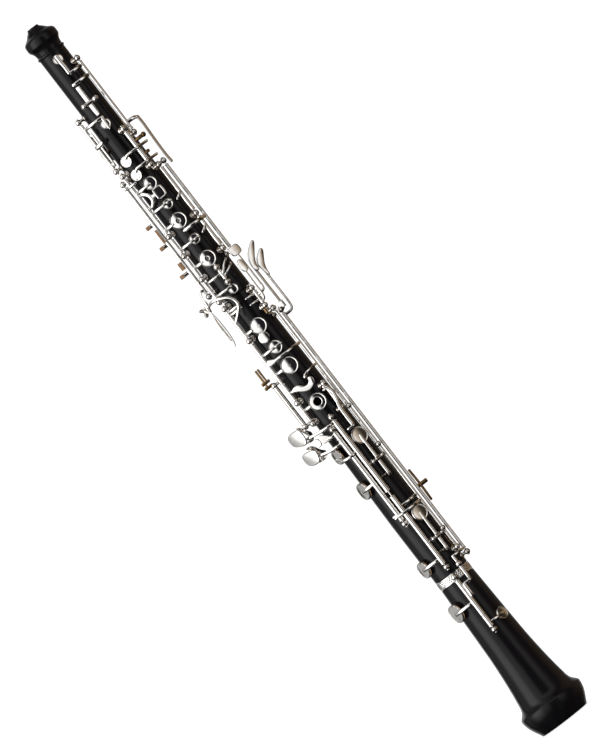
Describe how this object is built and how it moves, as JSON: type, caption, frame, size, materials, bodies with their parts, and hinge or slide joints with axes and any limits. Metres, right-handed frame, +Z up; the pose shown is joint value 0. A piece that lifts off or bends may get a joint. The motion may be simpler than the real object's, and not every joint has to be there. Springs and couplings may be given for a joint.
{
  "type": "oboe",
  "caption": "Black wooden oboe in separable joints with a full set of silver-plated sprung keys on rods and posts, and a flared bell.",
  "frame": {"origin": "centre of the bell's rim plane, on the bore's axis", "axes": "+Z up the bore from the bell to the crown, -Y towards the front where the tone holes and plates are, +X towards the side of the left little-finger levers"},
  "size_m": [0.0648, 0.0527, 0.596],
  "materials": {
    "blackwood": "oiled dense black wood, fine grain, soft satin sheen",
    "cork": "matte sheet cork",
    "silver_plate": "bright polished silver plate",
    "rod_steel": "turned and polished, bright",
    "ring_silver": "polished, with a fine knurled band",
    "key_pad": "brown skin over felt, matte",
    "spring_gold": "gilt steel needle, darkened"
  },
  "bodies": {
    "body": {"upper_joint": "blackwood", "lower_joint": "blackwood", "bell": "blackwood", "upper_tenon_cork": "cork", "lower_tenon_cork": "cork", "bell_ring": "ring_silver", "thumb_rest": "silver_plate", "side_octave_rod": "rod_steel", "thumb_octave_rod": "rod_steel", "trill_rod": "rod_steel", "upper_left_rod": "rod_steel", "upper_left_outer_rod": "rod_steel", "upper_right_inner_rod": "rod_steel", "upper_right_outer_rod": "rod_steel", "front_link_rod": "rod_steel", "left_little_finger_rod": "rod_steel", "lower_left_rod": "rod_steel", "lower_right_inner_rod": "rod_steel", "lower_right_outer_rod": "rod_steel", "centre_long_rod": "rod_steel", "centre_short_rod": "rod_steel", "fork_lever_rod": "rod_steel", "bell_rod": "rod_steel", "octave_rocker_axle": "rod_steel", "upper_lever_axle": "rod_steel", "lower_lever_axle": "rod_steel"},
    "side_octave_key": {"side_octave_key": "silver_plate"},
    "octave_rocker": {"octave_rocker": "silver_plate"},
    "thumb_octave_key": {"thumb_octave_key": "silver_plate"},
    "c_trill_key": {"c_trill_key": "silver_plate"},
    "d_trill_key": {"d_trill_key": "silver_plate"},
    "half_hole_key": {"half_hole_key": "silver_plate"},
    "first_vent_key": {"first_vent_key": "silver_plate"},
    "left_second_plate": {"left_second_plate": "silver_plate"},
    "second_vent_key": {"second_vent_key": "silver_plate"},
    "left_third_plate": {"left_third_plate": "silver_plate"},
    "upper_link": {"upper_link": "silver_plate"},
    "lower_link": {"lower_link": "silver_plate"},
    "trill_lever": {"trill_lever": "silver_plate"},
    "front_link_key": {"front_link_key": "silver_plate"},
    "side_trill_key": {"side_trill_key": "silver_plate"},
    "g_sharp_cup": {"g_sharp_cup": "silver_plate"},
    "g_sharp_key": {"g_sharp_key": "silver_plate"},
    "left_d_sharp_lever": {"left_d_sharp_lever": "silver_plate"},
    "left_b_lever": {"left_b_lever": "silver_plate"},
    "left_b_flat_lever": {"left_b_flat_lever": "silver_plate"},
    "right_first_plate": {"right_first_plate": "silver_plate"},
    "lower_vent_key": {"lower_vent_key": "silver_plate"},
    "right_second_plate": {"right_second_plate": "silver_plate"},
    "crescent_key": {"crescent_key": "silver_plate"},
    "right_third_plate": {"right_third_plate": "silver_plate"},
    "fork_lever": {"fork_lever": "silver_plate"},
    "low_c_key": {"low_c_key": "silver_plate"},
    "d_sharp_key": {"d_sharp_key": "silver_plate"},
    "low_c_sharp_key": {"low_c_sharp_key": "silver_plate"},
    "low_b_key": {"low_b_key": "silver_plate"},
    "upper_lever_cup": {"upper_lever_cup": "silver_plate"},
    "lower_lever_cup": {"lower_lever_cup": "silver_plate"},
    "bell_key": {"bell_key": "silver_plate"},
    "bell_vent_key": {"bell_vent_key": "silver_plate"}
  },
  "joints": [
    {"name": "side_octave_key_turn", "type": "hinge", "parent": "body", "child": "side_octave_key", "pos_m": [0.0118, -0.0088, 0], "axis": [0, 0, 1], "range_deg": [0, 8], "stiffness_Nm_per_rad": 0.006, "springref_deg": -11.46},
    {"name": "octave_rocker_turn", "type": "hinge", "parent": "body", "child": "octave_rocker", "pos_m": [0, -0.0139, 0.531], "axis": [1, 0, 0], "range_deg": [0, 4.9], "stiffness_Nm_per_rad": 0.0008, "springref_deg": -11.46},
    {"name": "thumb_octave_key_turn", "type": "hinge", "parent": "body", "child": "thumb_octave_key", "pos_m": [-0.0145, -0.0042, 0], "axis": [0, 0, 1], "range_deg": [-8, 0], "stiffness_Nm_per_rad": 0.01, "springref_deg": 11.46},
    {"name": "c_trill_key_turn", "type": "hinge", "parent": "body", "child": "c_trill_key", "pos_m": [0.0072, -0.0126, 0], "axis": [0, 0, 1], "range_deg": [0, 8.1], "stiffness_Nm_per_rad": 0.002, "springref_deg": -11.46},
    {"name": "d_trill_key_turn", "type": "hinge", "parent": "body", "child": "d_trill_key", "pos_m": [0.0072, -0.0126, 0], "axis": [0, 0, 1], "range_deg": [0, 9], "stiffness_Nm_per_rad": 0.002, "springref_deg": -11.46},
    {"name": "half_hole_key_turn", "type": "hinge", "parent": "body", "child": "half_hole_key", "pos_m": [-0.013, -0.008, 0], "axis": [0, 0, 1], "range_deg": [0, 5], "stiffness_Nm_per_rad": 0.007, "springref_deg": -11.46},
    {"name": "first_vent_key_turn", "type": "hinge", "parent": "body", "child": "first_vent_key", "pos_m": [-0.013, -0.008, 0], "axis": [0, 0, 1], "range_deg": [0, 4.9], "stiffness_Nm_per_rad": 0.003, "springref_deg": -11.46},
    {"name": "left_second_plate_turn", "type": "hinge", "parent": "body", "child": "left_second_plate", "pos_m": [-0.013, -0.008, 0], "axis": [0, 0, 1], "range_deg": [0, 8], "stiffness_Nm_per_rad": 0.006, "springref_deg": -11.46},
    {"name": "second_vent_key_turn", "type": "hinge", "parent": "body", "child": "second_vent_key", "pos_m": [-0.013, -0.008, 0], "axis": [0, 0, 1], "range_deg": [0, 4.9], "stiffness_Nm_per_rad": 0.003, "springref_deg": -11.46},
    {"name": "left_third_plate_turn", "type": "hinge", "parent": "body", "child": "left_third_plate", "pos_m": [-0.013, -0.008, 0], "axis": [0, 0, 1], "range_deg": [0, 8], "stiffness_Nm_per_rad": 0.006, "springref_deg": -11.46},
    {"name": "upper_link_turn", "type": "hinge", "parent": "body", "child": "upper_link", "pos_m": [0.0116, -0.01, 0], "axis": [0, 0, 1], "range_deg": [-4.1, 0]},
    {"name": "lower_link_turn", "type": "hinge", "parent": "body", "child": "lower_link", "pos_m": [0.0116, -0.01, 0], "axis": [0, 0, 1], "range_deg": [-4.1, 0]},
    {"name": "trill_lever_turn", "type": "hinge", "parent": "body", "child": "trill_lever", "pos_m": [0.0158, -0.0052, 0], "axis": [0, 0, 1], "range_deg": [-5, 0], "stiffness_Nm_per_rad": 0.002, "springref_deg": 11.46},
    {"name": "front_link_key_turn", "type": "hinge", "parent": "body", "child": "front_link_key", "pos_m": [0.0002, -0.0156, 0], "axis": [0, 0, 1], "range_deg": [-2.5, 0], "stiffness_Nm_per_rad": 0.0003, "springref_deg": 11.46},
    {"name": "side_trill_key_turn", "type": "hinge", "parent": "body", "child": "side_trill_key", "pos_m": [-0.0164, -0.0034, 0], "axis": [0, 0, 1], "range_deg": [-6, 0], "stiffness_Nm_per_rad": 0.002, "springref_deg": 11.46},
    {"name": "g_sharp_cup_turn", "type": "hinge", "parent": "body", "child": "g_sharp_cup", "pos_m": [-0.013, -0.008, 0], "axis": [0, 0, 1], "range_deg": [-5, 0], "stiffness_Nm_per_rad": 0.002, "springref_deg": 11.46},
    {"name": "g_sharp_key_turn", "type": "hinge", "parent": "body", "child": "g_sharp_key", "pos_m": [0.0105, -0.0118, 0], "axis": [0, 0, 1], "range_deg": [0, 7], "stiffness_Nm_per_rad": 0.001, "springref_deg": -11.46},
    {"name": "left_d_sharp_lever_turn", "type": "hinge", "parent": "body", "child": "left_d_sharp_lever", "pos_m": [0.0105, -0.0118, 0], "axis": [0, 0, 1], "range_deg": [0, 7], "stiffness_Nm_per_rad": 0.0005, "springref_deg": -11.46},
    {"name": "left_b_lever_turn", "type": "hinge", "parent": "body", "child": "left_b_lever", "pos_m": [0.0138, -0.0098, 0], "axis": [0, 0, 1], "range_deg": [0, 7], "stiffness_Nm_per_rad": 0.006, "springref_deg": -11.46},
    {"name": "left_b_flat_lever_turn", "type": "hinge", "parent": "body", "child": "left_b_flat_lever", "pos_m": [0.0172, -0.006, 0], "axis": [0, 0, 1], "range_deg": [0, 6], "stiffness_Nm_per_rad": 0.003, "springref_deg": -11.46},
    {"name": "right_first_plate_turn", "type": "hinge", "parent": "body", "child": "right_first_plate", "pos_m": [-0.013, -0.0098, 0], "axis": [0, 0, 1], "range_deg": [0, 8], "stiffness_Nm_per_rad": 0.006, "springref_deg": -11.46},
    {"name": "lower_vent_key_turn", "type": "hinge", "parent": "body", "child": "lower_vent_key", "pos_m": [-0.013, -0.0098, 0], "axis": [0, 0, 1], "range_deg": [0, 4.9], "stiffness_Nm_per_rad": 0.004, "springref_deg": -11.46},
    {"name": "right_second_plate_turn", "type": "hinge", "parent": "body", "child": "right_second_plate", "pos_m": [-0.013, -0.0098, 0], "axis": [0, 0, 1], "range_deg": [0, 8], "stiffness_Nm_per_rad": 0.005, "springref_deg": -11.46},
    {"name": "crescent_key_turn", "type": "hinge", "parent": "body", "child": "crescent_key", "pos_m": [-0.013, -0.0098, 0], "axis": [0, 0, 1], "range_deg": [0, 6.5], "stiffness_Nm_per_rad": 0.003, "springref_deg": -11.46},
    {"name": "right_third_plate_turn", "type": "hinge", "parent": "body", "child": "right_third_plate", "pos_m": [-0.013, -0.0098, 0], "axis": [0, 0, 1], "range_deg": [0, 8], "stiffness_Nm_per_rad": 0.005, "springref_deg": -11.46},
    {"name": "fork_lever_turn", "type": "hinge", "parent": "body", "child": "fork_lever", "pos_m": [0.0095, -0.0134, 0], "axis": [0, 0, 1], "range_deg": [0, 5], "stiffness_Nm_per_rad": 0.0002, "springref_deg": -11.46},
    {"name": "low_c_key_turn", "type": "hinge", "parent": "body", "child": "low_c_key", "pos_m": [-0.0005, -0.0174, 0], "axis": [0, 0, 1], "range_deg": [-6, 0], "stiffness_Nm_per_rad": 0.03, "springref_deg": 11.46},
    {"name": "d_sharp_key_turn", "type": "hinge", "parent": "body", "child": "d_sharp_key", "pos_m": [-0.005, -0.0167, 0], "axis": [0, 0, 1], "range_deg": [-7, 0], "stiffness_Nm_per_rad": 0.001, "springref_deg": 11.46},
    {"name": "low_c_sharp_key_turn", "type": "hinge", "parent": "body", "child": "low_c_sharp_key", "pos_m": [-0.005, -0.0167, 0], "axis": [0, 0, 1], "range_deg": [-7, 0], "stiffness_Nm_per_rad": 0.02, "springref_deg": 11.46},
    {"name": "low_b_key_turn", "type": "hinge", "parent": "body", "child": "low_b_key", "pos_m": [-0.0005, -0.0174, 0], "axis": [0, 0, 1], "range_deg": [-5.91, 0], "stiffness_Nm_per_rad": 0.009, "springref_deg": 11.46},
    {"name": "upper_lever_cup_turn", "type": "hinge", "parent": "body", "child": "upper_lever_cup", "pos_m": [0.0078, -0.01499, 0.2195], "axis": [0.887, 0.4617, 0], "range_deg": [-4.06, 0], "stiffness_Nm_per_rad": 0.01, "springref_deg": 11.46},
    {"name": "lower_lever_cup_turn", "type": "hinge", "parent": "body", "child": "lower_lever_cup", "pos_m": [0.00794, -0.01526, 0.153], "axis": [0.887, 0.4617, 0], "range_deg": [-4.44, 0], "stiffness_Nm_per_rad": 0.01, "springref_deg": 11.46},
    {"name": "bell_key_turn", "type": "hinge", "parent": "body", "child": "bell_key", "pos_m": [-0.0005, -0.0186, 0], "axis": [0, 0, 1], "range_deg": [-7, 0], "stiffness_Nm_per_rad": 0.01, "springref_deg": 11.46},
    {"name": "bell_vent_key_turn", "type": "hinge", "parent": "body", "child": "bell_vent_key", "pos_m": [-0.0005, -0.0186, 0], "axis": [0, 0, 1], "range_deg": [-8, 0], "stiffness_Nm_per_rad": 0.003, "springref_deg": 11.46}
  ],
  "couplings": [
    {"joint": "octave_rocker_turn", "follows": "side_octave_key_turn", "ratio": 0.6},
    {"joint": "c_trill_key_turn", "follows": "trill_lever_turn", "ratio": -1.6},
    {"joint": "first_vent_key_turn", "follows": "left_second_plate_turn", "ratio": 0.6},
    {"joint": "second_vent_key_turn", "follows": "left_third_plate_turn", "ratio": 0.6},
    {"joint": "upper_link_turn", "follows": "left_second_plate_turn", "ratio": -0.5},
    {"joint": "lower_link_turn", "follows": "left_third_plate_turn", "ratio": -0.5},
    {"joint": "front_link_key_turn", "follows": "left_third_plate_turn", "ratio": -0.3},
    {"joint": "g_sharp_cup_turn", "follows": "g_sharp_key_turn", "ratio": -0.7},
    {"joint": "lower_vent_key_turn", "follows": "right_second_plate_turn", "ratio": 0.6},
    {"joint": "crescent_key_turn", "follows": "right_third_plate_turn", "ratio": 0.8},
    {"joint": "low_b_key_turn", "follows": "left_b_lever_turn", "ratio": -0.83},
    {"joint": "upper_lever_cup_turn", "follows": "low_c_key_turn", "ratio": 0.66},
    {"joint": "lower_lever_cup_turn", "follows": "left_b_lever_turn", "ratio": -0.62},
    {"joint": "bell_key_turn", "follows": "left_b_flat_lever_turn", "ratio": -1.15}
  ]
}
